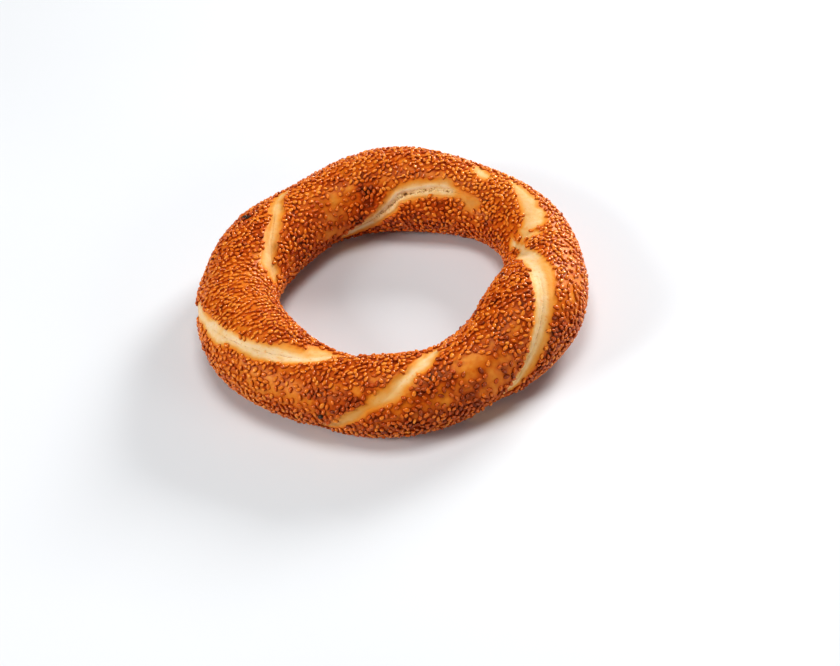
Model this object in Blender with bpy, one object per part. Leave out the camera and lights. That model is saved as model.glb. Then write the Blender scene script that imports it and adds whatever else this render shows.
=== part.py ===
"""Simit: a ring of bread made of two dough ropes twisted round each other.

The bread is one solid. It starts as a torus, and functions give it the
uneven centre line and thickness of a hand-shaped ring, the swell of the two
ropes, the two long seams between them, the dent where the rope ends were
pressed together, and the flat underside it was baked on.

Metres, +Z up, origin at the middle of the underside.
Angles: "around" runs round the ring (0 = +X, 90 = +Y); "rope" runs round the
section of the rope (0 = outermost, 90 = top, 180 = towards the hole).
"""
import math

import bpy
import numpy as np

MM = 0.001

# ---- driving sizes -------------------------------------------------------
RING_RADIUS = 68.8        # mean radius of the centre line, mm
ROPE_HALF_WIDTH = 18.7    # mean half width of the twisted rope, mm
HEIGHT_RATIO = 0.92       # the rope is a little lower than it is wide
BASE_CUT = 1.4            # how far the underside is pressed flat, mm
STRAND_SWELL = 0.7        # how far each rope swells between its seams, mm
AROUND_STEPS = 112
ROPE_STEPS = 40

# Hand shaping: centre line radius every 30 degrees and rope half width every
# 24 degrees, mm.
CENTRE_LINE = (69.3, 70.8, 67.2, 68.7, 68.1, 69.1,
               70.0, 68.6, 67.9, 69.7, 67.8, 68.4)
HALF_WIDTH = (17.6, 16.6, 17.7, 20.4, 19.8, 18.4, 19.1, 18.3,
              19.5, 19.1, 17.5, 17.9, 17.5, 20.3, 21.0)

# The two seams, each climbing two full turns of the rope in one turn of the
# ring: (around, rope, half width of the open dough mm, depth mm).
SEAM_ONE = ((247, 348, 2.4, 1.2), (253, 370, 3.0, 1.2), (260, 390, 3.6, 1.2),
            (265, 410, 3.8, 1.2), (270, 430, 2.6, 1.3), (276, 447, 3.0, 1.4),
            (282, 470, 2.0, 1.4), (350, 570, 1.0, 1.0), (430, 695, 1.6, 1.0),
            (487, 790, 2.4, 1.2), (494, 810, 2.8, 1.4), (502, 830, 3.2, 1.5),
            (514, 850, 3.2, 1.5), (525, 870, 2.0, 1.4))
SEAM_TWO = ((182, 24, 3.2, 1.5), (193, 39, 3.2, 1.4), (208, 54, 3.1, 1.3),
            (222, 70, 3.6, 1.3), (233, 86, 3.4, 1.4), (240, 104, 2.8, 1.4),
            (246, 122, 1.6, 1.3), (298, 340, 2.2, 1.6), (304, 370, 3.2, 2.0),
            (310, 389, 3.6, 2.2), (319, 412, 4.2, 2.2), (333, 443, 5.0, 2.0),
            (344, 465, 4.6, 2.2), (354, 484, 4.0, 2.6), (372, 495, 2.0, 1.4),
            (398, 488, 1.8, 1.0), (410, 489, 3.4, 1.6), (424, 497, 3.8, 2.0),
            (437, 511, 3.8, 2.4), (444, 527, 3.2, 2.4), (460, 551, 2.6, 2.0),
            (470, 562, 1.8, 1.6))
TURNS = 2

# Dent at the pinched joint of the rope ends, on the side of the hole.
JOINT_AROUND, JOINT_ROPE = 355, 158
JOINT_DEPTH, JOINT_SPREAD = 2.2, 7.0     # mm

CRUST_COLOUR = (0.46, 0.15, 0.030, 1.0)


def smooth_round(values, angle):
    """Smooth closed curve through equally spaced values, at angle in rad."""
    waves = np.fft.rfft(values) / len(values)
    result = np.full(np.shape(angle), waves[0].real)
    for k in range(1, len(waves)):
        twice = 2.0 if 2 * k < len(values) else 1.0
        result += twice * (waves[k].real * np.cos(k * angle)
                           - waves[k].imag * np.sin(k * angle))
    return result


def along_seam(rows, degrees):
    """Rope angle, half width and depth of a seam at angles round the ring.

    A smooth curve that never overshoots its stations (harmonic-mean slopes),
    repeated every turn with the seam's climb added.
    """
    rows = np.array(rows, float)
    climb = np.array([0.0, 360.0 * TURNS, 0.0, 0.0])
    lap = np.array([360.0, 0.0, 0.0, 0.0]) + climb
    rows = np.concatenate([rows[-3:] - lap, rows, rows[:3] + lap])
    knots, values = rows[:, 0], rows[:, 1:]
    gap = np.diff(knots)
    rise = np.diff(values, axis=0) / gap[:, None]
    slope = np.zeros_like(values)
    for i in range(1, len(knots) - 1):
        before, after = 2 * gap[i] + gap[i - 1], gap[i] + 2 * gap[i - 1]
        for j in range(values.shape[1]):
            if rise[i - 1, j] * rise[i, j] > 0:
                slope[i, j] = (before + after) / (before / rise[i - 1, j]
                                                  + after / rise[i, j])
    start = knots[3]
    lap_count = np.floor((degrees - start) / 360.0)
    x = degrees - 360.0 * lap_count
    i = np.clip(np.searchsorted(knots, x, side="right") - 1, 0, len(gap) - 1)
    h = gap[i][..., None]
    s = ((x - knots[i]) / gap[i])[..., None]
    curve = ((2 * s**3 - 3 * s**2 + 1) * values[i]
             + (s**3 - 2 * s**2 + s) * h * slope[i]
             + (3 * s**2 - 2 * s**3) * values[i + 1]
             + (s**3 - s**2) * h * slope[i + 1])
    curve[..., 0] += climb[1] * lap_count
    return curve[..., 0], curve[..., 1], curve[..., 2]


def seam_offset(rows, around, rope):
    """Signed distance to the nearest pass of a seam, mm, with its width and
    depth there and the rope angle to it in degrees (-180 to 180)."""
    degrees = np.degrees(around)
    seam_rope, width, depth = along_seam(rows, degrees)
    ahead = along_seam(rows, degrees + 0.5)[0]
    behind = along_seam(rows, degrees - 0.5)[0]
    turn = (np.degrees(rope) - seam_rope + 180.0) % 360.0 - 180.0
    half = smooth_round(HALF_WIDTH, around)
    reach = smooth_round(CENTRE_LINE, around) + half * np.cos(rope)
    tilt = half * (ahead - behind) / reach
    return np.radians(turn) * half / np.sqrt(1 + tilt**2), width, depth, turn


def bread_point(around, rope):
    """Point of the bread's surface, mm, before it is moved to the origin."""
    half = smooth_round(HALF_WIDTH, around)
    radius = smooth_round(CENTRE_LINE, around)
    lift = np.zeros(np.shape(around))
    turns = []
    for rows in (SEAM_ONE, SEAM_TWO):
        offset, width, depth, turn = seam_offset(rows, around, rope)
        lift -= depth * np.exp(-(offset / (1.2 * width + 1.8)) ** 2)
        turns.append(turn)
    # swell of the rope that lies between the two seams
    to_next = np.minimum(np.abs(turns[0]), np.abs(turns[1]))
    lift += STRAND_SWELL * (np.sin(np.radians(np.minimum(to_next, 90.0))) - 0.5)
    # pinched joint
    du = (np.degrees(around) - JOINT_AROUND + 180.0) % 360.0 - 180.0
    dv = (np.degrees(rope) - JOINT_ROPE + 180.0) % 360.0 - 180.0
    away = (np.radians(du) * (radius - half)) ** 2 + (np.radians(dv) * half) ** 2
    lift -= JOINT_DEPTH * np.exp(-away / JOINT_SPREAD**2)
    across, up = half + lift, HEIGHT_RATIO * (half + lift)
    out = radius + across * np.cos(rope)
    height = HEIGHT_RATIO * half + up * np.sin(rope)
    height = np.maximum(height, BASE_CUT) - BASE_CUT
    return np.stack([out * np.cos(around), out * np.sin(around), height], -1)


def clear_scene():
    for old in list(bpy.data.objects):
        bpy.data.objects.remove(old, do_unlink=True)


def crust_material():
    material = bpy.data.materials.new("crust")
    material.use_nodes = True
    shader = material.node_tree.nodes["Principled BSDF"]
    shader.inputs["Base Color"].default_value = CRUST_COLOUR
    shader.inputs["Roughness"].default_value = 0.42
    shader.inputs["Metallic"].default_value = 0.0
    return material


def make_bread(collection):
    bpy.ops.mesh.primitive_torus_add(
        major_segments=AROUND_STEPS, minor_segments=ROPE_STEPS,
        major_radius=RING_RADIUS * MM, minor_radius=ROPE_HALF_WIDTH * MM,
        location=(0.0, 0.0, 0.0))
    bread = bpy.context.object
    bread.name = bread.data.name = "bread_ring"
    mesh = bread.data
    flat = np.empty(len(mesh.vertices) * 3)
    mesh.vertices.foreach_get("co", flat)
    points = flat.reshape(-1, 3)
    around = np.arctan2(points[:, 1], points[:, 0])
    rope = np.arctan2(points[:, 2],
                      np.hypot(points[:, 0], points[:, 1]) - RING_RADIUS * MM)
    shaped = bread_point(around, rope) * MM
    middle = (shaped.min(axis=0) + shaped.max(axis=0)) / 2
    shaped[:, :2] -= middle[:2]
    mesh.vertices.foreach_set("co", shaped.ravel())
    mesh.update()
    mesh.shade_smooth()
    mesh.materials.clear()
    mesh.materials.append(crust_material())
    for owner in list(bread.users_collection):
        owner.objects.unlink(bread)
    collection.objects.link(bread)
    return bread


clear_scene()
simit = bpy.data.collections.new("simit")
bpy.context.scene.collection.children.link(simit)
make_bread(simit)
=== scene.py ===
"""Looks of the simit: the dough of two twisted ropes with its open seams and
cracks, a coat of toasted sesame seeds, a plain floor and soft studio light.

Shapes are worked out in millimetres and turned into metres at the end.
"around" runs round the ring (0 = +X, 90 = +Y); "rope" runs round the section
of the rope (0 = outermost, 90 = top, 180 = towards the hole).
"""

import math

import bpy
import numpy as np
from mathutils import Matrix, Vector
from mathutils.kdtree import KDTree


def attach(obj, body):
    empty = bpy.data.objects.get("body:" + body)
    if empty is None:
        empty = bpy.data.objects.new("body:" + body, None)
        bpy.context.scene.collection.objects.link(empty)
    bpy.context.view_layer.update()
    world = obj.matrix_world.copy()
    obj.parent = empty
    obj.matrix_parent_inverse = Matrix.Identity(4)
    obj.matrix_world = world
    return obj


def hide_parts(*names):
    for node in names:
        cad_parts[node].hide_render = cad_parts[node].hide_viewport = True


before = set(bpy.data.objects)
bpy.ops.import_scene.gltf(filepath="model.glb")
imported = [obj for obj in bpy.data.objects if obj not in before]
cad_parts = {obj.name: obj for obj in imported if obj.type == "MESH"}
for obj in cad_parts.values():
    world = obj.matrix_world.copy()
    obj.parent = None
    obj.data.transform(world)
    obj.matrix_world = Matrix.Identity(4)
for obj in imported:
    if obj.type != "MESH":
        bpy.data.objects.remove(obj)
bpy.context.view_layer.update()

MM = 0.001
RANDOM_SEED = 11

# ---------------------------------------------------------------- sizes ---
HEIGHT_RATIO = 0.92
BASE_CUT = 1.4
STRAND_SWELL = 0.7
DOUGH_BELOW_CAD = 0.55        # the seeds' tops are just above the CAD surface
DOUGH_BOTTOM = 0.35           # dough is this far above the plate
CENTRE_LINE = (69.3, 70.8, 67.2, 68.7, 68.1, 69.1,
               70.0, 68.6, 67.9, 69.7, 67.8, 68.4)
HALF_WIDTH = (17.6, 16.6, 17.7, 20.4, 19.8, 18.4, 19.1, 18.3,
              19.5, 19.1, 17.5, 17.9, 17.5, 20.3, 21.0)
TURNS = 2

# The CAD's seams, used for its surface and its place:
# (around, rope, half width, depth).
CAD_SEAM_ONE = ((247, 348, 2.4, 1.2), (253, 370, 3.0, 1.2), (260, 390, 3.6, 1.2),
                (265, 410, 3.8, 1.2), (270, 430, 2.6, 1.3), (276, 447, 3.0, 1.4),
                (282, 470, 2.0, 1.4), (350, 570, 1.0, 1.0), (430, 695, 1.6, 1.0),
                (487, 790, 2.4, 1.2), (494, 810, 2.8, 1.4), (502, 830, 3.2, 1.5),
                (514, 850, 3.2, 1.5), (525, 870, 2.0, 1.4))
CAD_SEAM_TWO = ((182, 24, 3.2, 1.5), (193, 39, 3.2, 1.4), (208, 54, 3.1, 1.3),
                (222, 70, 3.6, 1.3), (233, 86, 3.4, 1.4), (240, 104, 2.8, 1.4),
                (246, 122, 1.6, 1.3), (298, 340, 2.2, 1.6), (304, 370, 3.2, 2.0),
                (310, 389, 3.6, 2.2), (319, 412, 4.2, 2.2), (333, 443, 5.0, 2.0),
                (344, 465, 4.6, 2.2), (354, 484, 4.0, 2.6), (372, 495, 2.0, 1.4),
                (398, 488, 1.8, 1.0), (410, 489, 3.4, 1.6), (424, 497, 3.8, 2.0),
                (437, 511, 3.8, 2.4), (444, 527, 3.2, 2.4), (460, 551, 2.6, 2.0),
                (470, 562, 1.8, 1.6))
JOINT_AROUND, JOINT_ROPE = 355, 158
JOINT_DEPTH, JOINT_SPREAD = 2.2, 7.0

# The same seams where the dough shows: (around, rope, depth mm, crack).
SEAM_ONE_LOOK = (
    (247, 348, 0.6, 0.0), (253, 370, 0.7, 0.0), (260, 390, 0.8, 0.1),
    (265, 410, 0.8, 0.1), (270, 430, 0.8, 0.1), (276, 447, 0.7, 0.1),
    (282, 470, 0.8, 0.1), (292, 490, 0.6, 0.0), (350, 570, 0.8, 0.2),
    (430, 695, 0.8, 0.3), (487, 790, 0.6, 0.2), (494, 810, 0.6, 0.45),
    (502, 830, 0.7, 0.50), (514, 850, 0.8, 0.45), (525, 870, 0.8, 0.3),
    (532, 885, 0.6, 0.0))
SEAM_TWO_LOOK = (
    (182, 24, -1.1, 0.1), (193, 39, -0.2, 0.3), (208, 54, 0.5, 0.7),
    (222, 70, 0.8, 0.7), (233, 86, 0.8, 0.4), (240, 104, 0.9, 0.1),
    (246, 122, 0.8, 0.0), (270, 230, 0.6, 0.2), (298, 340, 0.9, 0.7),
    (304, 370, 1.0, 0.95), (310, 389, 1.1, 0.95), (319, 412, 1.1, 0.7),
    (333, 443, 1.1, 0.15), (344, 465, 1.1, 0.0), (354, 484, 1.6, 0.1),
    (362, 492, 1.4, 0.1), (372, 495, 1.0, 0.0), (398, 488, 0.7, 0.1),
    (408, 488, 0.9, 0.8), (413, 490, 1.0, 1.2), (418, 492, 1.1, 1.3),
    (429, 502, 1.3, 1.3), (437, 511, 1.3, 1.3), (444, 527, 1.2, 1.3),
    (452, 541, 1.0, 1.2), (460, 551, 1.0, 0.8), (470, 562, 0.9, 0.3))

# Outlines (around, rope) of the places without seeds, where the dough opened
# in the oven, how creamy each one is, and how far its edge shades off (mm).
OPEN_DOUGH = (
    ("first lap, left", 0.92, 2.0, (
        (168, -32), (172, -14), (176, 0), (179, 13), (180, 30), (185, 37),
        (190, 42), (193, 46), (196, 53), (200, 56), (205, 61), (210, 64),
        (213, 68), (216, 72), (219, 76), (221, 81), (224, 85), (228, 88),
        (230, 91), (231, 97), (232, 104), (235, 110), (239, 116), (246, 128),
        (254, 140), (252, 128), (246, 115), (243, 106), (241, 98), (239, 92),
        (236, 85), (233, 78), (229, 71), (226, 64), (222, 60), (218, 54),
        (214, 51), (210, 50), (206, 46), (205, 42), (203, 36), (199, 33),
        (195, 31), (190, 29), (187, 22), (183, 13), (180, 0), (176, -14),
        (170, -32))),
    ("first lap, golden side", 0.50, 3.0, (
        (219, 75), (220, 81), (222, 86), (222, 91), (226, 94), (230, 96),
        (231, 104), (231, 111), (234, 116), (240, 122), (240, 112), (238, 100),
        (234, 88), (228, 78))),
    ("front", 0.74, 2.8, (
        (235, -50), (238, -35), (241, -22), (243, -14), (246, -8), (247, 0),
        (249, 8), (250, 15), (252, 22), (255, 29), (258, 35), (258, 41),
        (259, 47), (261, 53), (263.5, 57), (265, 63), (266, 68), (267.5, 72),
        (270, 77), (271, 82), (273, 88), (275, 95), (277, 101), (279, 107),
        (283, 118), (288, 130), (286, 116), (284, 106), (282, 97), (280, 90),
        (279, 82), (276, 76), (273, 70), (271.4, 62), (269.6, 56), (268.4, 46),
        (266.5, 40), (262.0, 33), (257.6, 27), (256.6, 20), (254.6, 11), (252, 3),
        (249.8, -6), (247.5, -14), (245, -22), (241, -36), (237, -50))),
    ("right", 0.84, 1.8, (
        (286, -62), (290, -40), (294.5, -22), (297.8, -10), (300.6, 0),
        (303.7, 10), (306.2, 20), (308.6, 30), (311, 40), (314.8, 50),
        (318.3, 60), (322.3, 70), (326.8, 80), (331, 90), (336.8, 100), (341, 110),
        (344.5, 119), (346.5, 125), (348, 127), (352, 126), (354, 123.5),
        (356, 127), (357, 132), (0, 136), (0, 140), (5, 140), (8, 137),
        (7, 132), (2.3, 131), (1.4, 124.6), (1.4, 121), (0, 118), (358, 117),
        (354, 113), (351.6, 107.7), (349.5, 102.7), (347.8, 96), (344.8, 90),
        (341, 80), (337.5, 70), (330, 60), (327, 54), (325, 48),
        (320.5, 43), (317.3, 34), (314, 22), (309, 10), (304.8, 0),
        (301.6, -10), (298.6, -22), (294, -40), (288, -62))),
    ("glazed link", 0.66, 2.2, (
        (0, 119.5), (4, 120), (8.6, 119.5), (9.8, 117.5), (9.8, 112),
        (7, 104), (5.4, 101.8), (4.2, 99), (3.9, 93), (2.7, 88), (1.2, 90),
        (0.6, 99), (0.2, 106), (0.6, 112), (359, 117))),
    ("far right", 0.76, 2.0, (
        (9.5, 114), (11, 110), (12.8, 106.5), (16, 102.5), (19.5, 97),
        (22.9, 92), (25.8, 87.5), (28.7, 80.8), (30.4, 76.5), (32.5, 72),
        (34.5, 67), (36.5, 61), (34.5, 60), (31, 64), (27.5, 65), (24, 65),
        (21, 67), (19.8, 71), (18.8, 75.5), (17.6, 75.5), (16.2, 70.5),
        (14, 69), (11.5, 73), (9, 77), (7.3, 83), (6.5, 90),
        (5.8, 98), (6.2, 106))),
    ("far right, small", 0.74, 1.8, (
        (42.6, 86.5), (44.2, 88), (46.6, 86), (47.8, 82), (48.8, 77),
        (49.6, 71), (50.2, 64), (50.6, 60), (49, 63), (47, 68.5),
        (44.8, 72.3), (42.8, 75.7), (42, 80.7), (42.4, 84))),
    ("inner, beside the tear", 0.52, 3.4, (
        (37.5, 136), (39, 142), (40, 149), (42.5, 147), (45, 141),
        (47.2, 134.7), (49.7, 131.3), (50, 126), (48, 124.6), (45.5, 127),
        (43.5, 130), (41.5, 128), (38.5, 128), (37, 132))),
    ("tear", 0.78, 3.2, (
        (49, 129), (50.3, 136), (55, 139), (60, 142), (64.8, 147.5),
        (69.5, 151), (74, 154), (77.4, 159), (79, 165.7), (80.6, 172),
        (84.5, 178), (88.5, 184.7), (90.8, 189), (93, 195.7), (98, 201),
        (105, 209), (112, 216), (120, 224), (124, 222), (118, 213),
        (112, 203), (108, 196), (104, 190), (100, 185), (97, 179),
        (93.2, 173.6), (90.8, 167), (88.5, 161), (86, 154.7), (83.7, 146.8),
        (80.6, 139), (75.8, 133), (71, 128), (66, 124), (61, 120),
        (57.5, 112), (54, 114), (52.5, 120), (50, 124))),
    ("back left", 0.70, 3.0, (
        (102, 22), (106, 32), (112, 46), (118, 58), (123, 68), (124.8, 74),
        (126.4, 79), (129.5, 85), (131, 91.5), (132, 99), (134, 105.7),
        (139, 113.6), (142, 121.5), (147.5, 129), (153, 136), (158.5, 141.5),
        (161, 150), (163, 158), (168, 165), (170.5, 160), (169.5, 152),
        (168.5, 146), (167, 139), (165.5, 130), (161, 125), (155, 120),
        (151.6, 115), (145, 109), (141, 102.5), (139.4, 96), (137.4, 88),
        (134, 82), (131, 74), (129, 69), (124, 56), (117, 42), (110, 28),
        (104, 20))),
)

# Places with few seeds: (around, rope, reach round the ring in degrees, reach
# round the rope in degrees, how much the coat thins).
THIN_PLACES = (
    (295, 28, 6, 34, 0.84), (291, 60, 5, 14, 0.75), (278, 22, 8, 12, 0.50),
    (284, -24, 10, 10, 0.45), (106, 152, 14, 30, 0.15),
    (112, 142, 11, 13, 0.45), (118, 183, 13, 18, 0.80),
    (110, 125, 9, 8, 0.55), (225, 20, 18, 16, 0.35), (236, 34, 8, 20, 0.30),
    (172, 46, 9, 13, 0.45), (338, 36, 10, 14, 0.40), (352, 50, 9, 14, 0.44),
    (66, 112, 6, 12, 0.40), (206, -6, 8, 8, 0.40), (15, 64, 8, 8, 0.38),
    (256, 50, 5, 14, 0.45), (12, 142, 7, 12, 0.35), (8, 126, 4, 8, 0.45),
    (310, 62, 5, 10, 0.25), (150, 172, 12, 14, 0.30), (20, 40, 12, 12, 0.20),
    (284, 42, 8, 20, 0.25), (303, 28, 4, 20, 0.25), (240, 22, 12, 26, 0.15),
    (341, 40, 9, 18, 0.33), (268, 28, 6, 18, 0.30),
)

# Places baked darker, or less; the wide rows over the inner side of the far arc and over the outside
# of the front right are painted shade: (around, rope, reach, reach, how much).
BAKED_AND_SHADED_PLACES = (
    (95, 139, 5, 20, 0.80), (102.5, 186, 2.5, 5, 1.1), (143, 62, 4, 9, 0.90), (158, 90, 6, 12, 0.30),
    (280, 62, 6, 18, 0.35), (4, 96, 4, 8, 0.40), (126, 140, 9, 12, 0.20),
    (326, 86, 4, 8, 0.30), (206, 66, 6, 6, 0.30), (354, 98, 4, 10, 0.35),
    (100, 190, 42, 26, 0.55), (190, 92, 28, 42, -0.50), (218, 18, 14, 24, -0.45),
    (300, -5, 30, 34, 0.30), (293, 38, 9, 32, 0.35), (38, 85, 16, 24, -0.40),
)

# Places where the seeds alone are darker, or lighter.
RED_SEED_PLACES = ((262, 20, 36, 40, 0.38), (28, 80, 34, 46, -0.60))

# Places where the open dough is browner, on the inner wall beside the tear partly painted shade:
# (around, rope, reach, reach, how much).
TAN_AND_SHADED_PLACES = ((43, 137, 6, 16, 0.62), (56, 114, 5, 7, 0.40), (24, 82, 12, 20, 0.34),
              (152, 135, 6, 7, 0.50), (162, 152, 3, 9, 0.40))

ELEVATION = math.radians(40.905)
ROLL = math.radians(-9.268)
DISTANCE = 0.79176
AIM_HEIGHT = 18.0             # mm above the plain rope's lowest line


# ------------------------------------------------------------- numbers ----
def smooth_round(values, angle):
    """Smooth closed curve through equally spaced values, angle in radians."""
    waves = np.fft.rfft(values) / len(values)
    result = np.full(np.shape(angle), waves[0].real)
    for k in range(1, len(waves)):
        twice = 2.0 if 2 * k < len(values) else 1.0
        result += twice * (waves[k].real * np.cos(k * angle)
                           - waves[k].imag * np.sin(k * angle))
    return result


def along_seam(rows, degrees):
    """The columns of a seam's table after the first, at angles round the
    ring: a smooth curve that never overshoots its stations."""
    rows = np.array(rows, float)
    climb = np.zeros(rows.shape[1])
    climb[1] = 360.0 * TURNS
    lap = climb.copy()
    lap[0] = 360.0
    rows = np.concatenate([rows[-3:] - lap, rows, rows[:3] + lap])
    knots, values = rows[:, 0], rows[:, 1:]
    gap = np.diff(knots)
    rise = np.diff(values, axis=0) / gap[:, None]
    slope = np.zeros_like(values)
    for i in range(1, len(knots) - 1):
        before, after = 2 * gap[i] + gap[i - 1], gap[i] + 2 * gap[i - 1]
        for j in range(values.shape[1]):
            if rise[i - 1, j] * rise[i, j] > 0:
                slope[i, j] = (before + after) / (before / rise[i - 1, j]
                                                  + after / rise[i, j])
    laps = np.floor((degrees - knots[3]) / 360.0)
    x = degrees - 360.0 * laps
    i = np.clip(np.searchsorted(knots, x, side="right") - 1, 0, len(gap) - 1)
    h = gap[i][..., None]
    s = ((x - knots[i]) / gap[i])[..., None]
    curve = ((2 * s**3 - 3 * s**2 + 1) * values[i]
             + (s**3 - 2 * s**2 + s) * h * slope[i]
             + (3 * s**2 - 2 * s**3) * values[i + 1]
             + (s**3 - s**2) * h * slope[i + 1])
    curve[..., 0] += climb[1] * laps
    return np.moveaxis(curve, -1, 0)


def turn_between(a, b):
    """a - b in degrees, from -180 to 180."""
    return (a - b + 180.0) % 360.0 - 180.0


def step(low, high, x):
    t = np.clip((x - low) / (high - low), 0.0, 1.0)
    return t * t * (3 - 2 * t)


def corner_hash(x, y, z, seed):
    h = (x * 73856093) ^ (y * 19349663) ^ (z * 83492791) ^ (seed * 40503)
    h = (h ^ (h >> 13)) & 0xFFFFFFFF
    h = (h * 1274126177) & 0xFFFFFFFF
    return (h ^ (h >> 16)) & 0xFFFFFFFF


def noise(points, size, seed):
    """Smooth gradient noise in space, about -1 to 1; size is in mm."""
    p = points / size + 1000.0
    cell = np.floor(p).astype(np.int64)
    f = p - cell
    fade = f * f * f * (f * (f * 6 - 15) + 10)
    total = 0.0
    for corner in range(8):
        ox, oy, oz = corner & 1, (corner >> 1) & 1, (corner >> 2) & 1
        h = corner_hash(cell[..., 0] + ox, cell[..., 1] + oy,
                        cell[..., 2] + oz, seed)
        angle = (h & 0xFFFF) * (2 * math.pi / 65536)
        tall = ((h >> 16) & 0xFFFF) / 32768.0 - 1
        flat = np.sqrt(np.maximum(0, 1 - tall * tall))
        dot = (flat * np.cos(angle) * (f[..., 0] - ox)
               + flat * np.sin(angle) * (f[..., 1] - oy)
               + tall * (f[..., 2] - oz))
        weight = (np.where(ox, fade[..., 0], 1 - fade[..., 0])
                  * np.where(oy, fade[..., 1], 1 - fade[..., 1])
                  * np.where(oz, fade[..., 2], 1 - fade[..., 2]))
        total = total + weight * dot
    return total * 1.6


# --------------------------------------------------------------- shape ----
def seam_offset(rows, around, rope):
    """Signed distance (mm) to the nearest pass of a seam, positive towards
    higher rope angles, with the seam's other columns there and the turn."""
    degrees = np.degrees(around)
    columns = along_seam(rows, degrees)
    ahead = along_seam(rows, degrees + 0.5)[0]
    behind = along_seam(rows, degrees - 0.5)[0]
    turn = turn_between(np.degrees(rope), columns[0])
    half = smooth_round(HALF_WIDTH, around)
    reach = smooth_round(CENTRE_LINE, around) + half * np.cos(rope)
    tilt = half * (ahead - behind) / reach
    return np.radians(turn) * half / np.sqrt(1 + tilt**2), columns[1:], turn


def place(around, rope, lift):
    """Point at a height (mm) above the plain rope, before it is centred."""
    half = smooth_round(HALF_WIDTH, around)
    radius = smooth_round(CENTRE_LINE, around)
    out = radius + (half + lift) * np.cos(rope)
    height = HEIGHT_RATIO * (half + (half + lift) * np.sin(rope))
    return np.stack([out * np.cos(around), out * np.sin(around), height], -1)


def joint_dent(around, rope):
    half = smooth_round(HALF_WIDTH, around)
    radius = smooth_round(CENTRE_LINE, around)
    du = turn_between(np.degrees(around), JOINT_AROUND)
    dv = turn_between(np.degrees(rope), JOINT_ROPE)
    away = ((np.radians(du) * (radius - half)) ** 2
            + (np.radians(dv) * half) ** 2)
    return JOINT_DEPTH * np.exp(-away / JOINT_SPREAD**2)


def cad_points(around, rope):
    lift = -joint_dent(around, rope)
    turns = []
    for rows in (CAD_SEAM_ONE, CAD_SEAM_TWO):
        offset, (width, depth), turn = seam_offset(rows, around, rope)
        lift = lift - depth * np.exp(-(offset / (1.2 * width + 1.8)) ** 2)
        turns.append(turn)
    to_next = np.minimum(np.abs(turns[0]), np.abs(turns[1]))
    lift = lift + STRAND_SWELL * (
        np.sin(np.radians(np.minimum(to_next, 90.0))) - 0.5)
    points = place(around, rope, lift)
    points[..., 2] = np.maximum(points[..., 2], BASE_CUT) - BASE_CUT
    return points


ring, section = np.meshgrid(np.arange(112) * 2 * math.pi / 112,
                            np.arange(40) * 2 * math.pi / 40, indexing="ij")
cad_grid = cad_points(ring, section)
CENTRE = (cad_grid.min(axis=(0, 1)) + cad_grid.max(axis=(0, 1))) / 2
CENTRE[2] = 0.0


def spot(around, rope, place_row):
    a, r, reach_a, reach_r, amount = place_row
    du = turn_between(np.degrees(around), a) / reach_a
    dv = turn_between(np.degrees(rope), r) / reach_r
    return amount * np.exp(-(du * du + dv * dv))


def plain_lift(around, rope, seams):
    """Height of the dough over the plain rope without its small detail, and
    the seams' offsets and cracks."""
    lift = -DOUGH_BELOW_CAD - joint_dent(around, rope)
    turns, found = [], []
    for rows in seams:
        offset, (depth, split), turn = seam_offset(rows, around, rope)
        turns.append(turn)
        found.append((offset, split))
        lift = lift - depth * np.exp(-(offset / 4.2) ** 2)
    to_next = np.minimum(np.abs(turns[0]), np.abs(turns[1]))
    lift = lift + STRAND_SWELL * (
        np.sin(np.radians(np.minimum(to_next, 90.0))) - 0.5)
    return lift, found


def sunk(places, lift):
    """Stations were read on the plain rope as it is seen from the camera.
    Where the dough lies lower, each one slides along its line of sight."""
    places = np.array(places, float)
    around, rope = np.radians(places[:, 0]), np.radians(places[:, 1])
    seen = place(around, rope, 0.0)
    eye = np.array([0.0, -math.cos(ELEVATION), math.sin(ELEVATION)]) * (
        DISTANCE / MM) + np.array([0, 0, AIM_HEIGHT])
    ray = seen - eye
    ray /= np.linalg.norm(ray, axis=1)[:, None]
    normal = np.stack([np.cos(rope) * np.cos(around),
                       np.cos(rope) * np.sin(around), np.sin(rope)], -1)
    facing = -np.sum(ray * normal, axis=1)
    far = -lift / np.maximum(facing, 0.45) * step(0.05, 0.30, facing)
    moved = seen + ray * far[:, None]
    new_around = np.arctan2(moved[:, 1], moved[:, 0])
    out = np.hypot(moved[:, 0], moved[:, 1])
    new_rope = np.arctan2(
        moved[:, 2] / HEIGHT_RATIO - smooth_round(HALF_WIDTH, new_around),
        out - smooth_round(CENTRE_LINE, new_around))
    result = places.copy()
    result[:, 0] += turn_between(np.degrees(new_around), places[:, 0])
    result[:, 1] += turn_between(np.degrees(new_rope), places[:, 1])
    return result


SEAMS = [SEAM_ONE_LOOK, SEAM_TWO_LOOK]
for look_rows in (0, 1):
    stations = np.array(SEAMS[look_rows], float)
    level = plain_lift(np.radians(stations[:, 0]), np.radians(stations[:, 1]),
                       (SEAM_ONE_LOOK, SEAM_TWO_LOOK))[0]
    SEAMS[look_rows] = sunk(stations, level)
OUTLINES = []
for outline_name, milk, soft, corners in OPEN_DOUGH:
    corners = np.array(corners, float)
    level = plain_lift(np.radians(corners[:, 0]), np.radians(corners[:, 1]),
                       SEAMS)[0]
    OUTLINES.append((outline_name, milk, soft, sunk(corners, level)))


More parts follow.
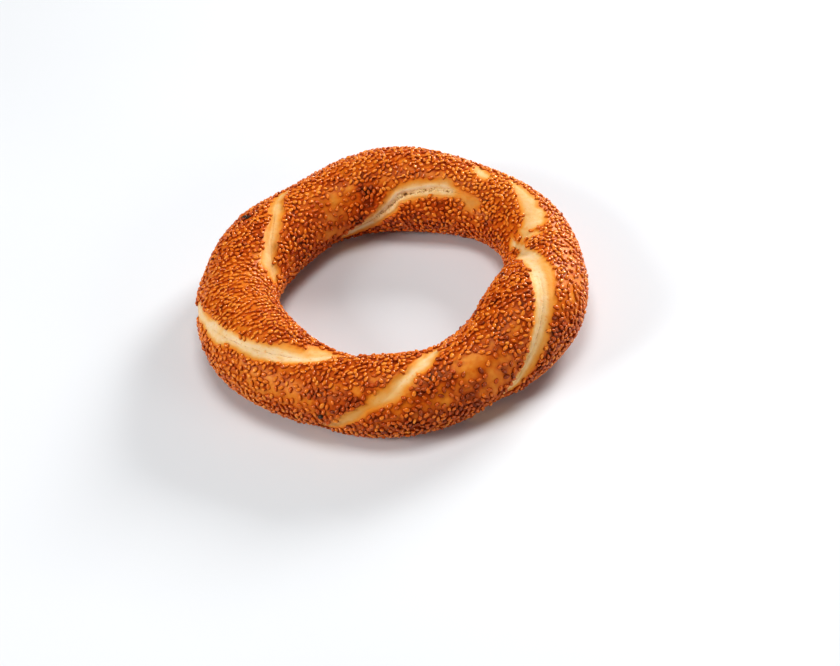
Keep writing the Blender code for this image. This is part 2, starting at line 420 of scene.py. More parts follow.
def inside_outline(corners, around, rope):
    """Distance in mm to an outline, positive inside it."""
    result = np.full(np.shape(around), -99.0)
    middle = np.array([corners[0, 0] + turn_between(corners[:, 0],
                                                    corners[0, 0]).mean(),
                       corners[:, 1].mean()])
    du = turn_between(np.degrees(around), middle[0])
    dv = turn_between(np.degrees(rope), middle[1])
    edge = np.stack([turn_between(corners[:, 0], middle[0]),
                     corners[:, 1] - middle[1]], -1)
    near = ((du > edge[:, 0].min() - 9) & (du < edge[:, 0].max() + 9)
            & (dv > edge[:, 1].min() - 20) & (dv < edge[:, 1].max() + 20))
    if not near.any():
        return result
    a, du, dv = around[near], du[near], dv[near]
    half = smooth_round(HALF_WIDTH, a)
    wide = smooth_round(CENTRE_LINE, a) + half * np.cos(rope[near])
    ku, kv = np.radians(1) * wide, np.radians(1) * half
    best = np.full(a.shape, 1e9)
    crossings = np.zeros(a.shape, int)
    for k in range(len(edge)):
        u0, v0 = (edge[k, 0] - du) * ku, (edge[k, 1] - dv) * kv
        u1 = (edge[(k + 1) % len(edge), 0] - du) * ku
        v1 = (edge[(k + 1) % len(edge), 1] - dv) * kv
        eu, ev = u1 - u0, v1 - v0
        t = np.clip(-(u0 * eu + v0 * ev) / (eu * eu + ev * ev + 1e-12), 0, 1)
        best = np.minimum(best, (u0 + t * eu) ** 2 + (v0 + t * ev) ** 2)
        up = (v0 > 0) != (v1 > 0)
        at = u0 - v0 * eu / np.where(np.abs(ev) < 1e-12, 1e-12, ev)
        crossings += up & (at > 0)
    result[near] = np.sqrt(best) * np.where(crossings % 2 == 1, 1, -1)
    return result


def dough(around, rope, detail=True):
    """Dough surface and its looks at angles in radians."""
    around, rope = np.broadcast_arrays(around, rope)
    plain = place(around, rope, 0.0)
    wander = noise(plain, 6.0, 3)
    ragged = noise(plain, 2.2, 4)
    lift, found = plain_lift(around, rope, SEAMS)
    # open dough
    bare = np.full(np.shape(around), -99.0)
    pale = np.zeros(np.shape(around))
    for name, milk, soft, corners in OUTLINES:
        inside = inside_outline(corners, around, rope)
        inside = inside + np.where(inside > -9, 0.22 * ragged + 0.28 * wander, 0)
        here = milk * step(-1.8, soft, inside) ** 0.8 * (
            1 + 0.14 * noise(plain, 5.0, 51) + 0.10 * ragged)
        if name == "right":
            # creamy beside the tear, golden on the wide slope next to it
            away = -found[1][0]
            slope = step(1.2, 4.0, away) * step(350, 335, np.degrees(around) % 360)
            low = step(75, 45, (np.degrees(rope) + 90) % 360 - 90)
            here = here * (1 - 0.50 * slope) * (1 - 0.04 * low)
        if name == "front":
            low = step(66, 50, (np.degrees(rope) + 90) % 360 - 90)
            side = step(-0.5, 1.8, found[0][0]) * step(
                85, 70, (np.degrees(rope) + 90) % 360 - 90)
            here = here * (1.20 - 0.28 * low) * (1 - 0.22 * side)
        if name == "first lap, left":
            # its upper end is golden, creamy only along its lower edge
            top = step(82, 98, (np.degrees(rope) + 90) % 360 - 90)
            here = here * (1 - 0.08 * top - 0.26 * top * step(-0.6, 1.4, found[1][0]))
        if name == "tear":
            # palest on the lips
            lip = np.exp(-((np.abs(found[1][0] + 0.3) - 2.0) / 1.3) ** 2)
            here = here * (1 + 0.28 * lip)
        pale = np.maximum(pale, here)
        bare = np.maximum(bare, inside)
    lift = lift - 0.30 * step(-1.0, 0.4, bare)
    crack = np.zeros(np.shape(around))
    seam, part = np.full(np.shape(around), 9.0), np.zeros(np.shape(around))
    if detail:
        for number, (offset, split) in enumerate(found):
            split = split * step(-0.5, 1.0, bare)
            line = offset + 0.35 * noise(plain, 4.0, 6) + 0.16 * noise(
                plain, 1.1, 7)
            # a fine line where the dough tore open a little
            broken = step(-0.45, 0.15, noise(plain, 2.6, 8 + number))
            fine = np.clip(split, 0, 1) * np.exp(-(line / 0.40) ** 2) * broken
            near = np.abs(line) < np.abs(seam)
            seam = np.where(near, line, seam)
            part = np.where(near, np.clip(split, 0, 1) * broken, part)
            # a torn strip of rough crumb, with pits where it gapes
            gape = step(1.0, 1.2, split)
            rough = noise(plain, 0.9, 12) + 0.8 * noise(plain, 1.8, 13)
            strip = gape * step(1.6, 0.8, np.abs(
                line + 0.3 + 0.40 * rough + 0.4 * noise(plain, 3.4, 14)))
            pits = gape * step(0.20, 0.55, noise(plain, 1.5, 15)) * step(
                0.7, 0.25, np.abs(line + 0.1))
            lift = lift - 0.22 * fine - strip * (0.26 + 0.20 * rough) - 0.9 * pits
            # the lips of the tear stand a little proud
            lift = lift + 0.18 * np.clip(split, 0, 1) * np.exp(
                -((np.abs(line + 0.3) - 1.6 * gape - 0.8) / 0.7) ** 2)
            crack = np.maximum(crack, strip)
            # crack above 1 marks the pits, painted dark in the material as the shade in them
            crack = np.maximum(crack, 1.5 * pits)
        hole = spot(around, rope, (75.2, 147.5, 1.2, 3.2, 1.0))
        lift = lift - 2.2 * hole
        # the deep hole is painted dark in the material as the shade in it
        crack = np.maximum(crack, 1.5 * hole)
    # hand shaping and blisters
    lift = lift + 0.28 * noise(plain, 14.0, 21) + 0.16 * noise(plain, 6.0, 22)
    if detail:
        lift = lift + 0.05 * noise(plain, 2.4, 23) + 0.02 * noise(plain, 1.2, 24)
    points = place(around, rope, lift)
    # pressed flat where it was baked on the tray, with a soft edge
    low = points[..., 2] - BASE_CUT - DOUGH_BOTTOM
    points[..., 2] = DOUGH_BOTTOM + np.where(
        low > 4.0, low, 0.45 * np.log1p(np.exp(np.clip(low / 0.45, -40, 9))))
    points = points - CENTRE
    tone_and_shade = np.zeros(np.shape(around))
    # the wide rows over the inner far wall and the outside of the front right are painted shade
    for row in BAKED_AND_SHADED_PLACES:
        tone_and_shade = tone_and_shade + spot(around, rope, row)
    tone_and_shade = tone_and_shade + 0.35 * noise(plain, 16.0, 31) + 0.2 * noise(plain, 6.0, 32)
    coat = 1.0 + 0.16 * noise(plain, 9.0, 41) + 0.26 * noise(plain, 4.2, 43)
    tan = np.zeros(np.shape(around))
    for row in TAN_AND_SHADED_PLACES:
        tan = np.maximum(tan, spot(around, rope, row))
    for row in THIN_PLACES:
        coat = coat - spot(around, rope, row) * (1 + 0.5 * noise(plain, 5.0, 42))
    under = step(9.0, 0.5, points[..., 2])
    coat = np.clip(coat * (1 - 0.2 * under), 0.05, 1.2)
    return points, {"pale": pale, "bare": bare, "crack": crack, "seam": seam,
                    "part": part, "tone_and_shade": tone_and_shade, "coat": coat, "under": under,
                    "tan": tan}


def make_dough(steps_around=620, steps_strand=80):
    """Grid whose lines follow the seams, closer together beside them."""
    around = np.arange(steps_around) * 2 * math.pi / steps_around
    degrees = np.degrees(around)
    one = along_seam(SEAMS[0], degrees)[0]
    two = along_seam(SEAMS[1], degrees)[0]
    first = (two - one) % 360.0
    v = np.arange(steps_strand) / steps_strand
    u = v - 0.5 * np.sin(2 * math.pi * v) / (2 * math.pi)
    rope = np.concatenate([one[:, None] + first[:, None] * u,
                           one[:, None] + first[:, None]
                           + (360.0 - first)[:, None] * u], axis=1)
    around = np.broadcast_to(around[:, None], rope.shape)
    points, looks = dough(around, np.radians(rope))
    n, m = rope.shape
    i, j = np.meshgrid(np.arange(n), np.arange(m), indexing="ij")
    quads = np.stack([i * m + j, (i + 1) % n * m + j,
                      (i + 1) % n * m + (j + 1) % m, i * m + (j + 1) % m], -1)
    obj = mesh_object("dough", points.reshape(-1, 3) * MM, quads.reshape(-1, 4))
    for name in ("pale", "crack", "seam", "part", "tone_and_shade", "under", "tan"):
        add_number(obj, name, looks[name].ravel())
    return obj


def mesh_object(name, points, faces):
    mesh = bpy.data.meshes.new(name)
    faces = np.asarray(faces)
    count, sides = faces.shape
    mesh.vertices.add(len(points))
    mesh.vertices.foreach_set("co", np.ascontiguousarray(points, np.float32).ravel())
    mesh.loops.add(count * sides)
    mesh.loops.foreach_set("vertex_index", faces.ravel().astype(np.int32))
    mesh.polygons.add(count)
    mesh.polygons.foreach_set("loop_start",
                              np.arange(0, count * sides, sides, dtype=np.int32))
    mesh.update(calc_edges=True)
    mesh.validate()
    mesh.shade_smooth()
    obj = bpy.data.objects.new(name, mesh)
    bpy.context.scene.collection.objects.link(obj)
    return obj


def add_number(obj, name, values):
    layer = obj.data.attributes.new(name, "FLOAT", "POINT")
    layer.data.foreach_set("value", np.ascontiguousarray(values, np.float32))


# --------------------------------------------------------------- seeds ----
SEED_LENGTH, SEED_WIDTH, SEED_THICK = 2.75, 1.68, 1.30     # mm
SEED_GAP = 2.30                # least distance between two, on a full coat
SEED_CLEAR = 1.55             # from a seed's middle to the open dough's edge


def seed_sites(rng):
    """Places for the seeds: even but unordered, none on the open dough."""
    tries = 420000
    around = rng.random(tries) * 2 * math.pi
    rope = rng.random(tries) * 2 * math.pi
    half = smooth_round(HALF_WIDTH, around)
    radius = smooth_round(CENTRE_LINE, around)
    keep = rng.random(tries) < (radius + half * np.cos(rope)) / 92.0
    around, rope = around[keep], rope[keep]
    points, looks = dough(around, rope, detail=False)
    coat = looks["coat"]
    clear = -looks["bare"] > SEED_CLEAR + 0.50 * rng.standard_normal(len(around))
    # a few seeds stay on the open dough near its edges
    stray = (looks["bare"] < 0.5) & (rng.random(len(around)) < 0.003)
    ok = clear | stray
    around, rope, points, coat = around[ok], rope[ok], points[ok], coat[ok]
    near = SEED_GAP / np.sqrt(coat) * np.clip(
        rng.normal(1.0, 0.15, len(coat)), 0.72, 1.35)
    cell = 2.0
    grid = {}
    chosen = []
    keys = np.floor(points / cell).astype(int)
    for k in range(len(around)):
        p, gap = points[k], near[k]
        kx, ky, kz = keys[k]
        reach = int(math.ceil(gap / cell))
        clear = True
        for dx in range(-reach, reach + 1):
            for dy in range(-reach, reach + 1):
                for dz in range(-reach, reach + 1):
                    for q in grid.get((kx + dx, ky + dy, kz + dz), ()):
                        d = points[q] - p
                        if d[0] * d[0] + d[1] * d[1] + d[2] * d[2] < gap * gap:
                            clear = False
                            break
                    if not clear:
                        break
                if not clear:
                    break
            if not clear:
                break
        if clear:
            grid.setdefault((kx, ky, kz), []).append(k)
            chosen.append(k)
    chosen = np.array(chosen)
    return around[chosen], rope[chosen], coat[chosen]


def surface_frame(around, rope):
    """Point, outward normal and the two directions along the surface."""
    e = 0.01
    here = dough(around, rope, detail=False)[0]
    ahead = dough(around + e, rope, detail=False)[0]
    up = dough(around, rope + 2 * e, detail=False)[0]
    along = ahead - here
    across = up - here
    stretch_along = np.linalg.norm(along, axis=1) / e
    stretch_across = np.linalg.norm(across, axis=1) / (2 * e)
    along /= np.linalg.norm(along, axis=1)[:, None]
    normal = np.cross(along, across)
    normal /= np.linalg.norm(normal, axis=1)[:, None]
    across = np.cross(normal, along)
    return here, normal, along, across, stretch_along, stretch_across


def settle(around, rope, heading, size, rng):
    """Neighbouring seeds push each other apart until they just overlap."""
    for turn in range(7):
        here, normal, along, across, su, sv = surface_frame(around, rope)
        tree = KDTree(len(here))
        for k, p in enumerate(here):
            tree.insert(p, k)
        tree.balance()
        c, s = np.cos(heading), np.sin(heading)
        long_way = along * c[:, None] + across * s[:, None]
        push = np.zeros_like(here)
        for k, p in enumerate(here):
            for q, other, away in tree.find_range(p, 2.7):
                if other <= k or away < 1e-6:
                    continue
                d = (here[other] - p) / away
                a = d @ long_way[k]
                b = d @ long_way[other]
                ra = size[k] * 0.5 / math.sqrt(
                    (a / SEED_LENGTH) ** 2 + (1 - a * a) / SEED_WIDTH**2)
                rb = size[other] * 0.5 / math.sqrt(
                    (b / SEED_LENGTH) ** 2 + (1 - b * b) / SEED_WIDTH**2)
                lack = 0.88 * (ra + rb) - away
                if lack > 0:
                    push[k] -= 0.25 * lack * d
                    push[other] += 0.25 * lack * d
        move_u = np.clip(np.sum(push * along, axis=1), -0.5, 0.5)
        move_v = np.clip(np.sum(push * across, axis=1), -0.5, 0.5)
        new_around = around + move_u / su
        new_rope = rope + move_v / sv
        before = dough(around, rope, detail=False)[1]["bare"]
        after = dough(new_around, new_rope, detail=False)[1]["bare"]
        stay = (after > -SEED_CLEAR + 0.2) & (after > before)
        around = np.where(stay, around, new_around)
        rope = np.where(stay, rope, new_rope)
    return around, rope


SEED_RINGS = ((0.50, 8), (0.82, 14), (1.00, 14))     # reach, points


def seed_form():
    """A sesame seed lying flat, 1 long and 1 wide: a drop, blunt at one end,
    its rim run down into the glaze. Gives the points, the ring that each is
    on, and the faces."""
    points, rings, faces = [(0.0, 0.0, 0.5)], [0], []
    starts = []
    for number, (reach, count) in enumerate(SEED_RINGS):
        starts.append(len(points))
        turn = math.pi / count * (number % 2)
        height = 0.5 * (1 - reach**2.6) ** 0.5
        for k in range(count):
            angle = 2 * math.pi * k / count + turn
            x, y = math.cos(angle), math.sin(angle)
            # squarer than an ellipse, narrower towards one end
            y *= (1.0 - 0.14 * x - 0.08 * x * x)
            points.append((0.5 * reach * x, 0.5 * reach * y, height))
            rings.append(number + 1)
    rim, count = starts[-1], SEED_RINGS[-1][1]
    starts.append(len(points))
    for k in range(count):
        points.append(points[rim + k])
        rings.append(4)
    points.append((0.0, 0.0, 0.0))
    rings.append(5)
    for k in range(8):
        faces.append((0, 1 + k, 1 + (k + 1) % 8))
    # between the first ring of 8 and the second of 14
    inner, outer = starts[0], starts[1]
    i = j = 0
    while i < 8 or j < 14:
        at_inner = (i + 1) / 8
        at_outer = (j + 1.5) / 14
        if j >= 14 or (i < 8 and at_inner < at_outer):
            faces.append((inner + i % 8, outer + (j - 1) % 14 if j else outer + 13,
                          inner + (i + 1) % 8))
            i += 1
        else:
            faces.append((inner + i % 8, outer + (j - 1) % 14, outer + j % 14))
            j += 1
    for low_ring, high_ring in zip(starts[1:-1], starts[2:]):
        for k in range(count):
            q = (k + 1) % count
            faces.append((low_ring + k, high_ring + k, high_ring + q))
            faces.append((low_ring + k, high_ring + q, low_ring + q))
    for k in range(count):
        faces.append((starts[-1] + k, len(points) - 1, starts[-1] + (k + 1) % count))
    return np.array(points), np.array(rings), np.array(faces)


def make_seeds():
    rng = np.random.default_rng(RANDOM_SEED)
    around, rope, coat = seed_sites(rng)
    count = len(around)
    heading = rng.random(count) * math.pi
    # on the left the seeds lie mostly across the rope, where it was stretched
    degrees, turned = np.degrees(around) % 360, np.degrees(rope) % 360
    combed = (step(160, 172, degrees) * step(222, 208, degrees)
              * step(45, 60, turned) * step(150, 130, turned))
    follow = rng.random(count) < 0.75 * combed
    heading = np.where(follow, math.pi / 2 + rng.normal(0, 0.25, count), heading)
    size = np.clip(rng.normal(1.0, 0.08, count), 0.80, 1.20)
    around, rope = settle(around, rope, heading, size, rng)
    here, normal, along, across, su, sv = surface_frame(around, rope)
    looks = dough(around, rope, detail=False)[1]

    form, rings, faces = seed_form()
    flip = rng.random(count) < 0.5
    heading = heading + np.where(flip, math.pi, 0)
    c, s = np.cos(heading)[:, None], np.sin(heading)[:, None]
    flat_long = along * c + across * s
    flat_wide = np.cross(normal, flat_long)
    # tilt about both flat axes
    pitch = rng.normal(0, 0.16, count)
    roll = rng.normal(0, 0.24, count)
    loose = rng.random(count) < 0.13
    pitch = np.where(loose, rng.normal(0, 0.30, count), pitch)
    roll = np.where(loose, rng.normal(0, 0.40, count), roll)
    under = step(3.2, 1.2, here[:, 2])
    pitch, roll = pitch * (1 - under), roll * (1 - under)
    cp, sp = np.cos(pitch)[:, None], np.sin(pitch)[:, None]
    long_way, up_way = flat_long * cp + normal * sp, normal * cp - flat_long * sp
    cr, sr = np.cos(roll)[:, None], np.sin(roll)[:, None]
    wide_way, up_way = flat_wide * cr + up_way * sr, up_way * cr - flat_wide * sr
    length = SEED_LENGTH * size * rng.normal(1, 0.05, count)
    width = SEED_WIDTH * size * rng.normal(1, 0.07, count) * (1 - 0.12 * combed)
    thick = SEED_THICK * size * rng.normal(1, 0.06, count)
    stand = 0.28 + 0.05 * rng.standard_normal(count) - 0.06 * combed
    stand = stand + np.where(loose, 0.22, 0.0)
    middle = here + normal * stand[:, None]
    local = form[None] * np.stack([length, width, thick], -1)[:, None]
    points = (middle[:, None] + local[..., :1] * long_way[:, None]
              + local[..., 1:2] * wide_way[:, None]
              + local[..., 2:] * up_way[:, None])
    # the foot of each seed is under the glaze
    rim = np.nonzero(rings == 3)[0]
    from_here = points[:, rim] - here[:, None]
    flat = from_here - np.sum(from_here * normal[:, None], -1)[..., None] * normal[:, None]
    reach = np.linalg.norm(flat, axis=-1)[..., None]
    outward = flat / reach
    over = np.sum(outward * across[:, None], -1)[..., None]
    at = reach + 0.04
    drop = 0.22 + (at * over) ** 2 / 38.0
    points[:, np.nonzero(rings == 4)[0]] = (
        here[:, None] + outward * at - normal[:, None] * drop)
    points[:, rings == 5] = (here - normal * 0.6)[:, None]
    # nothing goes below what the bread lies on
    sunk_by = np.minimum(points[:, rings < 4, 2].min(axis=1) - 0.02, 0)
    points[..., 2] -= sunk_by[:, None]
    points[..., 2] = np.maximum(points[..., 2], 0.02)

    # the seeds take the dough's tone, with its painted shade
    tone_and_shade = rng.normal(0, 0.23, count) + 0.8 * looks["tone_and_shade"]
    tone_and_shade = tone_and_shade - np.where(looks["bare"] > -1.0, 0.4, 0.0)
    for row in RED_SEED_PLACES:
        tone_and_shade = tone_and_shade + spot(around, rope, row)
    tone_and_shade = tone_and_shade + np.where(looks["under"] > 0.5, 0.25, 0)
    # three seeds are nearly black
    char = np.zeros(count, bool)
    for a, r in ((143.5, 64), (142.0, 55), (242.5, 3)):
        away = (turn_between(np.degrees(around), a) * 1.3) ** 2 + (
            turn_between(np.degrees(rope), r) * 0.33) ** 2
        char[np.argmin(away)] = True
    rank = np.argsort(np.argsort(tone_and_shade)) / count
    kind = np.digitize(rank, (0.24, 0.49, 0.74, 0.94))
    kind[char] = 5
    # each seed is painted darker towards its rim and its foot: painted shade on its sides and in the
    # gap where it meets the crust
    foot_painted_shade = np.array([0.0, 0.03, 0.20, 0.70, 1.0, 1.0])[rings]
    names = ("sesame_pale", "sesame_golden", "sesame_amber", "sesame_toasted",
             "sesame_dark", "sesame_burnt")
    made = []
    for number, name in enumerate(names):
        which = np.nonzero(kind == number)[0]
        if len(which) == 0:
            continue
        each = len(form)
        all_faces = (faces[None] + (np.arange(len(which)) * each)[:, None, None]
                     ).reshape(-1, 3)
        obj = mesh_object(name, points[which].reshape(-1, 3) * MM, all_faces)
        add_number(obj, "rim", np.tile(foot_painted_shade, len(which)))
        add_number(obj, "odd", np.repeat(rng.random(len(which)), each))
        made.append(obj)
        print(name, len(which), "seeds", len(all_faces), "triangles")
    return made, here


def add_crowd(bread, seeds):
    """How crowded the seeds are at each point of the dough: 1 where packed."""
    tree = KDTree(len(seeds))
    for k, p in enumerate(seeds):
        tree.insert(p, k)
    tree.balance()
    crowd = np.zeros(len(bread.data.vertices))
    for k, vertex in enumerate(bread.data.vertices):
        for found in tree.find_range(vertex.co / MM, 3.6):
            crowd[k] += math.exp(-(found[2] / 1.9) ** 2)
    add_number(bread, "crowd", crowd / 2.25)


# ----------------------------------------------------------- materials ----
def colour(red, green, blue):
    """Screen colour (0 to 255) as linear light."""
    def line(v):
        v = v / 255.0
        return v / 12.92 if v <= 0.04045 else ((v + 0.055) / 1.055) ** 2.4
    return (line(red), line(green), line(blue), 1.0)


class Nodes:
    def __init__(self, name):
        self.material = bpy.data.materials.new(name)
        self.material.use_nodes = True
        self.tree = self.material.node_tree
        self.shader = self.tree.nodes["Principled BSDF"]

    def new(self, kind, **values):
        node = self.tree.nodes.new(kind)
        for key, value in values.items():
            if isinstance(getattr(node, key, None), (str, int, float, bool)):
                setattr(node, key, value)
        return node

    def link(self, a, b):
        self.tree.links.new(a, b)

    def read(self, name):
        node = self.new("ShaderNodeAttribute")
        node.attribute_name = name
        return node.outputs["Fac"]

    def math(self, kind, a, b=None, c=None, clamp=False):
        node = self.new("ShaderNodeMath")
        node.operation = kind
        node.use_clamp = clamp
        for socket, value in zip(node.inputs, (a, b, c)):
            if value is None:
                continue
            if isinstance(value, (int, float)):
                socket.default_value = value
            else:
                self.link(value, socket)
        return node.outputs[0]

    def noise(self, scale, detail=3.0, rough=0.5, distortion=0.0):
        if not hasattr(self, "where"):
            self.where = self.new("ShaderNodeTexCoord").outputs["Object"]
        node = self.new("ShaderNodeTexNoise")
        self.link(self.where, node.inputs["Vector"])
        node.inputs["Scale"].default_value = scale
        node.inputs["Detail"].default_value = detail
        node.inputs["Roughness"].default_value = rough
        node.inputs["Distortion"].default_value = distortion
        return node.outputs["Fac"]

    def ramp(self, factor, stops, kind="LINEAR"):
        node = self.new("ShaderNodeValToRGB")
        ramp = node.color_ramp
        ramp.interpolation = kind
        while len(ramp.elements) < len(stops):
            ramp.elements.new(0.5)
        for element, (at, value) in zip(ramp.elements, stops):
            element.position = at
            element.color = value
        self.link(factor, node.inputs["Fac"])
        return node.outputs["Color"]

    def mix(self, factor, a, b, kind="MIX"):
        node = self.new("ShaderNodeMix")
        node.data_type = "RGBA"
        node.blend_type = kind
        node.clamp_factor = True
        for socket, value in ((node.inputs[0], factor), (node.inputs[6], a),
                              (node.inputs[7], b)):
            if isinstance(value, (int, float, tuple)):
                socket.default_value = value
            else:
                self.link(value, socket)
        return node.outputs[2]

    def spread(self, value, low, high, to_low=0.0, to_high=1.0):
        node = self.new("ShaderNodeMapRange")
        node.inputs["From Min"].default_value = low
        node.inputs["From Max"].default_value = high
        node.inputs["To Min"].default_value = to_low
        node.inputs["To Max"].default_value = to_high
        self.link(value, node.inputs["Value"])
        return node.outputs["Result"]

    def bump(self, height, distance, strength=1.0, before=None):
        node = self.new("ShaderNodeBump")
        node.inputs["Strength"].default_value = strength
        node.inputs["Distance"].default_value = distance
        self.link(height, node.inputs["Height"])
        if before is not None:
            self.link(before, node.inputs["Normal"])
        return node.outputs["Normal"]


def crust_colour(n):
    """Glazed crust: golden where seeds are few, red-brown between them where
    they are crowded, partly darker glaze and partly painted shade in the gaps."""
    tone_and_shade, crowd, under = n.read("tone_and_shade"), n.read("crowd"), n.read("under")
    bake_and_gap_shade = n.math("ADD", n.math("MULTIPLY", tone_and_shade, 0.32),
                  n.math("MULTIPLY", n.noise(110, 2.0), 0.35))
    bake_and_gap_shade = n.math("ADD", bake_and_gap_shade, n.math("MULTIPLY", n.noise(420, 3.0), 0.56))
    # crowded seeds darken the crust: painted shade in the gaps between them, partly darker glaze
    bake_and_gap_shade = n.math("ADD", bake_and_gap_shade, n.spread(crowd, 0.10, 0.95, -0.22, 0.40))
    return n.ramp(bake_and_gap_shade, ((0.06, colour(226, 152, 66)), (0.26, colour(222, 134, 44)),
                         (0.46, colour(212, 110, 24)), (0.66, colour(186, 76, 10)),
                         (0.92, colour(120, 36, 4)), (1.00, colour(70, 20, 4))))


def dough_material():
    n = Nodes("baked_dough")
    s = n.shader
    pale, crack = n.read("pale"), n.read("crack")
    mid = n.noise(420, 4.0, 0.6)
    fine = n.noise(1500, 3.0, 0.6)
    crust = crust_colour(n)
    # open dough: orange at its edge, golden, then cream in the middle
    opened = n.math("ADD", pale, n.math("MULTIPLY", n.math("SUBTRACT", mid, 0.5), 0.22))
    gold = n.ramp(opened, ((0.0, colour(222, 120, 28)), (0.22, colour(228, 142, 48)),
                           (0.48, colour(226, 160, 80)), (0.76, colour(229, 187, 128)),
                           (1.00, colour(233, 205, 166))))
    amount = n.spread(pale, 0.02, 0.22)
    shade = n.mix(amount, crust, gold)
    # browner open dough; beside the tear on the inner wall this is partly painted shade
    shade = n.mix(n.math("MULTIPLY", n.read("tan"), n.spread(mid, 0.3, 0.7, 1.0, 0.55)),
                  shade, colour(190, 124, 56))
    # small brown freckles on the open dough
    freckle = n.spread(n.noise(800, 2.0), 0.60, 0.72)
    shade = n.mix(n.math("MULTIPLY", freckle, n.math("MULTIPLY", amount, 0.45)),
                  shade, colour(216, 130, 44))
    # torn crumb, with painted shade in its small holes, its pits and the deep hole
    crumb = n.ramp(fine, ((0.32, colour(206, 162, 104)), (0.56, colour(240, 210, 160))))
    shade = n.mix(n.spread(crack, 0.30, 0.80, 0.0, 0.85), shade, crumb)
    pore_shade = n.math("MULTIPLY", n.spread(n.noise(1000, 1.0), 0.55, 0.64),
                   n.spread(crack, 0.55, 0.95))
    shade = n.mix(n.math("MULTIPLY", pore_shade, 0.75), shade, colour(150, 96, 44))
    # painted shade in the pits and the deep hole
    shade = n.mix(n.spread(crack, 1.0, 1.5, 0.0, 0.75), shade, colour(128, 72, 26))
    # the line where the dough came apart, finer than the mesh
    away = n.math("ABSOLUTE", n.read("seam"))
    dotted = n.spread(n.noise(1900, 1.0), 0.42, 0.54)
    line = n.math("MULTIPLY", n.spread(away, 0.08, 0.26, 1.0, 0.0),
                  n.math("MULTIPLY", n.read("part"), dotted))
    shade = n.mix(n.math("MULTIPLY", line, 0.68), shade, colour(152, 88, 34))
    n.link(shade, s.inputs["Base Color"])
    rough = n.math("ADD", n.spread(pale, 0.0, 0.8, 0.34, 0.46),
                   n.math("MULTIPLY", mid, 0.10))
    n.link(rough, s.inputs["Roughness"])
    height = n.math("ADD", n.math("MULTIPLY", mid, 0.7), n.math("MULTIPLY", fine, 0.3))
    height = n.math("SUBTRACT", height, n.math("MULTIPLY", line, 0.4))
    n.link(n.bump(height, 0.00034, 0.6), s.inputs["Normal"])
    s.inputs["Subsurface Weight"].default_value = 0.12
    s.inputs["Subsurface Radius"].default_value = (1.0, 0.40, 0.12)
    s.inputs["Subsurface Scale"].default_value = 0.0020
    s.inputs["IOR"].default_value = 1.45
    s.inputs["Specular IOR Level"].default_value = 0.40
    s.inputs["Specular Tint"].default_value = (1.0, 0.76, 0.40, 1.0)
    return n.material


def seed_material(name, light, main, dark, foot_shade_colour, rough):
    n = Nodes(name)
    s = n.shader
    rim, odd = n.read("rim"), n.read("odd")
    grain = n.noise(1400, 2.0, 0.6)
    where = n.math("ADD", n.math("MULTIPLY", odd, 0.55),
                   n.math("MULTIPLY", grain, 0.45))
    shade = n.ramp(where, ((0.22, light), (0.52, main), (0.82, dark)))
    # painted shade towards the seed's rim and foot
    shade = n.mix(n.math("POWER", rim, 1.3), shade, foot_shade_colour)
    n.link(shade, s.inputs["Base Color"])
    n.link(n.spread(grain, 0.3, 0.7, rough, rough + 0.10), s.inputs["Roughness"])
    n.link(n.bump(grain, 0.00006, 0.5), s.inputs["Normal"])
    s.inputs["IOR"].default_value = 1.5
    s.inputs["Specular IOR Level"].default_value = 0.5
    s.inputs["Specular Tint"].default_value = (1.0, 0.90, 0.68, 1.0)
    return n.material


def floor_material():
    n = Nodes("pale_floor")
    cloud = n.noise(3.0, 2.0)
    n.link(n.ramp(cloud, ((0.3, colour(224, 226, 229)), (0.7, colour(229, 231, 233)))),
           n.shader.inputs["Base Color"])
    n.shader.inputs["Roughness"].default_value = 0.6
    return n.material


def paint(obj, material):
    obj.data.materials.clear()
    obj.data.materials.append(material)


# ------------------------------------------------------ object and room ---
bread = make_dough()
paint(bread, dough_material())
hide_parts("bread_ring")
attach(bread, "root")

# light, main and dark tones, the colour of the painted shade at the foot, roughness
SEED_LOOKS = {
    "sesame_pale": (colour(241, 149, 52), colour(235, 133, 37),
                    colour(226, 118, 25), colour(152, 48, 7), 0.15),
    "sesame_golden": (colour(236, 135, 39), colour(227, 119, 27),
                      colour(217, 105, 18), colour(144, 43, 6), 0.15),
    "sesame_amber": (colour(229, 122, 31), colour(218, 107, 20),
                     colour(206, 92, 14), colour(138, 40, 5), 0.15),
    "sesame_toasted": (colour(214, 104, 23), colour(202, 90, 15),
                       colour(183, 71, 10), colour(124, 35, 4), 0.17),
    "sesame_dark": (colour(190, 86, 18), colour(168, 68, 12),
                    colour(140, 50, 8), colour(84, 23, 4), 0.20),
    "sesame_burnt": (colour(80, 42, 26), colour(56, 31, 23),
                     colour(36, 23, 20), colour(40, 20, 14), 0.35),
}
seed_pieces, seed_places = make_seeds()
add_crowd(bread, seed_places)
for piece in seed_pieces:
    paint(piece, seed_material(piece.name, *SEED_LOOKS[piece.name]))
    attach(piece, "root")


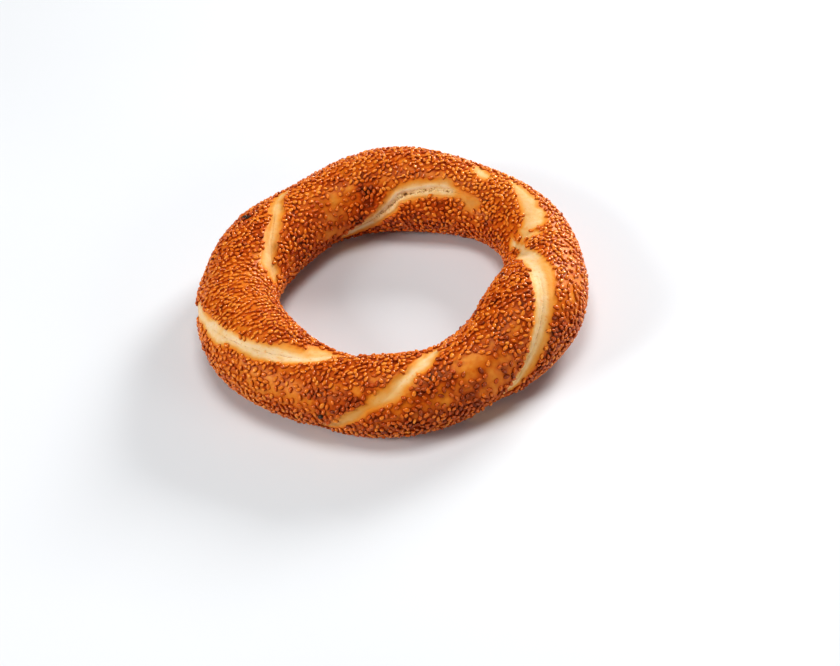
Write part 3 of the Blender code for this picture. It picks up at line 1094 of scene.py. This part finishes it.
def make_floor():
    import bmesh
    shape = bmesh.new()
    bmesh.ops.create_circle(shape, cap_ends=True, segments=96, radius=4.0)
    mesh = bpy.data.meshes.new("floor")
    shape.to_mesh(mesh)
    shape.free()
    obj = bpy.data.objects.new("floor", mesh)
    bpy.context.scene.collection.objects.link(obj)
    paint(obj, floor_material())
    return obj


make_floor()

# ------------------------------------------------------ camera and light --
def make_camera():
    right = Vector((1, 0, 0))
    ahead = Vector((0, math.cos(ELEVATION), -math.sin(ELEVATION)))
    up = right.cross(ahead)
    target = Vector((-CENTRE[0], -CENTRE[1], AIM_HEIGHT - BASE_CUT)) * MM
    c, s = math.cos(ROLL), math.sin(ROLL)
    turned = Matrix((right * c + up * s, up * c - right * s, -ahead)).transposed()
    data = bpy.data.cameras.new("camera")
    data.lens, data.sensor_width = 75.0, 36.0
    data.shift_x, data.shift_y = 0.0344, -0.0583
    camera = bpy.data.objects.new("camera", data)
    camera.matrix_world = (Matrix.Translation(target - ahead * DISTANCE)
                           @ turned.to_4x4())
    bpy.context.scene.collection.objects.link(camera)
    bpy.context.scene.camera = camera


def soft_box(name, direction, distance, size, power, tint=(1, 1, 1)):
    data = bpy.data.lights.new(name, "AREA")
    data.shape = "RECTANGLE"
    data.size, data.size_y = size
    data.energy = power
    data.color = tint
    lamp = bpy.data.objects.new(name, data)
    way = Vector(direction).normalized()
    lamp.location = way * distance
    lamp.rotation_euler = (-way).to_track_quat("-Z", "Y").to_euler()
    bpy.context.scene.collection.objects.link(lamp)
    return lamp


def make_world(strength):
    world = bpy.data.worlds.new("studio")
    bpy.context.scene.world = world
    world.use_nodes = True
    back = world.node_tree.nodes["Background"]
    back.inputs["Color"].default_value = (1.0, 0.995, 0.985, 1.0)
    back.inputs["Strength"].default_value = strength


make_camera()
make_world(0.065)
soft_box("window", (0.69, 0.66, 0.42), 1.25, (0.45, 0.36), 14.3)
soft_box("overhead", (0.05, 0.0, 1.0), 1.4, (0.6, 0.6), 8.1)
soft_box("fill", (-1.0, -0.30, 0.60), 1.4, (0.5, 0.5), 9.9)
soft_box("side", (0.80, -0.62, 0.32), 1.4, (0.6, 0.5), 4.2)
bpy.context.scene.view_settings.view_transform = "Standard"
bpy.context.scene.view_settings.look = "Medium High Contrast"
